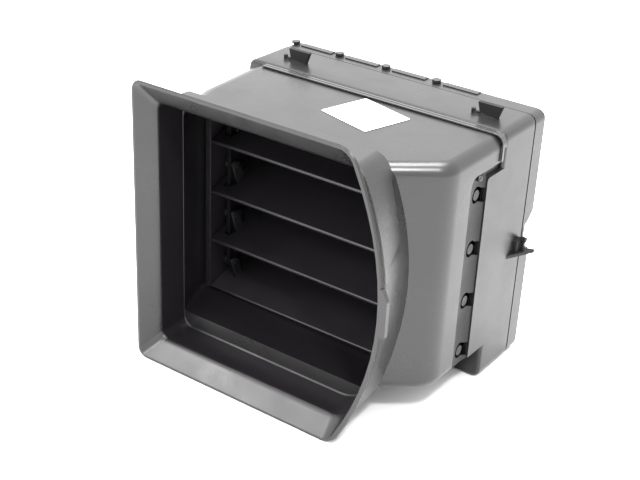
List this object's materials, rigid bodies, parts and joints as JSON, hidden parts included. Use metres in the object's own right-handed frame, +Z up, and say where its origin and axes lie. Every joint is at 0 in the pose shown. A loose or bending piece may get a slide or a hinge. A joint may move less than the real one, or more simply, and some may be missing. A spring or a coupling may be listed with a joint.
{
  "type": "motor-driven air vent",
  "caption": "Black moulded duct vent with a flared mouth, one side cut back, linked louvre slats turned by a small geared motor, and hanging back-draught flaps in a boxed rear casing.",
  "frame": {"origin": "centre of the overall box in plan, on the plane the vent stands on", "axes": "+X along the slats towards the side with the cut-back wall, +Y with the mouth behind you towards the rear cover, +Z up"},
  "size_m": [0.1948, 0.1434, 0.162],
  "materials": {
    "duct_plastic": "semi-gloss moulded black plastic",
    "housing_plastic": "fine-grained moulded black plastic",
    "slat_plastic": "fine-grained moulded black plastic",
    "seal_rubber": "smooth soft sealing strip",
    "label_white": "blank white adhesive film",
    "bush_nylon": "black acetal",
    "link_pin_plastic": "black acetal",
    "screw_steel": "zinc plated",
    "board_green": "solder mask over glass laminate",
    "motor_steel": "plain drawn can",
    "pinion_brass": "plain cut brass",
    "gear_nylon": "natural acetal",
    "strip_plastic": "satin moulded black plastic",
    "flap_plastic": "thin moulded black plastic"
  },
  "bodies": {
    "housing": {"front_duct": "duct_plastic", "bearing_strip": "strip_plastic", "joint_seal": "seal_rubber", "rear_casing": "housing_plastic", "rear_cover": "housing_plastic", "cover_rivet_1": "housing_plastic", "cover_rivet_2": "housing_plastic", "cover_rivet_3": "housing_plastic", "cover_rivet_4": "housing_plastic", "louvre_cassette": "slat_plastic", "flap_frame": "housing_plastic", "blank_label": "label_white", "pivot_bush_left_1": "bush_nylon", "pivot_bush_left_2": "bush_nylon", "pivot_bush_left_3": "bush_nylon", "pivot_bush_left_4": "bush_nylon", "pivot_bush_right_1": "bush_nylon", "pivot_bush_right_2": "bush_nylon", "pivot_bush_right_3": "bush_nylon", "pivot_bush_right_4": "bush_nylon", "actuator_base": "housing_plastic", "actuator_cover": "housing_plastic", "circuit_board": "board_green", "connector_socket": "housing_plastic", "motor": "motor_steel", "reduction_axle": "screw_steel", "cover_screw_1": "screw_steel", "cover_screw_2": "screw_steel", "cover_screw_3": "screw_steel", "cover_screw_4": "screw_steel", "mount_screw_1": "screw_steel", "mount_screw_2": "screw_steel", "mount_screw_3": "screw_steel"},
    "slat_1": {"slat_1": "slat_plastic", "link_pin_1": "link_pin_plastic"},
    "slat_2": {"slat_2": "slat_plastic", "link_pin_2": "link_pin_plastic"},
    "slat_3": {"slat_3": "slat_plastic", "link_pin_3": "link_pin_plastic", "output_gear": "gear_nylon"},
    "slat_4": {"slat_4": "slat_plastic", "link_pin_4": "link_pin_plastic"},
    "link_bar": {"link_bar": "slat_plastic"},
    "reduction_gear": {"reduction_gear": "gear_nylon"},
    "motor_pinion": {"motor_pinion": "pinion_brass"},
    "flap_1": {"flap_1": "flap_plastic"},
    "flap_2": {"flap_2": "flap_plastic"},
    "flap_3": {"flap_3": "flap_plastic"}
  },
  "joints": [
    {"name": "slat_3_pivot", "type": "hinge", "parent": "housing", "child": "slat_3", "pos_m": [0.007, 0.0053, 0.0595], "axis": [-1, 0, 0], "range_deg": [0, 40]},
    {"name": "slat_1_pivot", "type": "hinge", "parent": "housing", "child": "slat_1", "pos_m": [0.007, 0.0053, 0.1195], "axis": [-1, 0, 0], "range_deg": [0, 40]},
    {"name": "slat_2_pivot", "type": "hinge", "parent": "housing", "child": "slat_2", "pos_m": [0.007, 0.0053, 0.0895], "axis": [-1, 0, 0], "range_deg": [0, 40]},
    {"name": "slat_4_pivot", "type": "hinge", "parent": "housing", "child": "slat_4", "pos_m": [0.007, 0.0053, 0.0295], "axis": [-1, 0, 0], "range_deg": [0, 40]},
    {"name": "link_pivot", "type": "hinge", "parent": "slat_3", "child": "link_bar", "pos_m": [-0.0575, -0.0067, 0.0675], "axis": [-1, 0, 0], "range_deg": [-40, 0]},
    {"name": "reduction_spin", "type": "hinge", "parent": "housing", "child": "reduction_gear", "pos_m": [-0.085, 0.0193, 0.07378], "axis": [-1, 0, 0], "range_deg": [-160, 0]},
    {"name": "motor_spin", "type": "hinge", "parent": "housing", "child": "motor_pinion", "pos_m": [-0.088, 0.0373, 0.06507], "axis": [-1, 0, 0], "range_deg": [0, 640]},
    {"name": "flap_1_pivot", "type": "hinge", "parent": "housing", "child": "flap_1", "pos_m": [0.007, 0.0345, 0.1391], "axis": [1, 0, 0], "range_deg": [0, 55]},
    {"name": "flap_2_pivot", "type": "hinge", "parent": "housing", "child": "flap_2", "pos_m": [0.007, 0.0345, 0.0991], "axis": [1, 0, 0], "range_deg": [0, 55]},
    {"name": "flap_3_pivot", "type": "hinge", "parent": "housing", "child": "flap_3", "pos_m": [0.007, 0.0345, 0.0591], "axis": [1, 0, 0], "range_deg": [0, 55]}
  ],
  "couplings": [
    {"joint": "slat_1_pivot", "follows": "slat_3_pivot", "ratio": 1},
    {"joint": "slat_2_pivot", "follows": "slat_3_pivot", "ratio": 1},
    {"joint": "slat_4_pivot", "follows": "slat_3_pivot", "ratio": 1},
    {"joint": "link_pivot", "follows": "slat_3_pivot", "ratio": -1},
    {"joint": "reduction_spin", "follows": "slat_3_pivot", "ratio": -4},
    {"joint": "motor_spin", "follows": "slat_3_pivot", "ratio": 16}
  ]
}
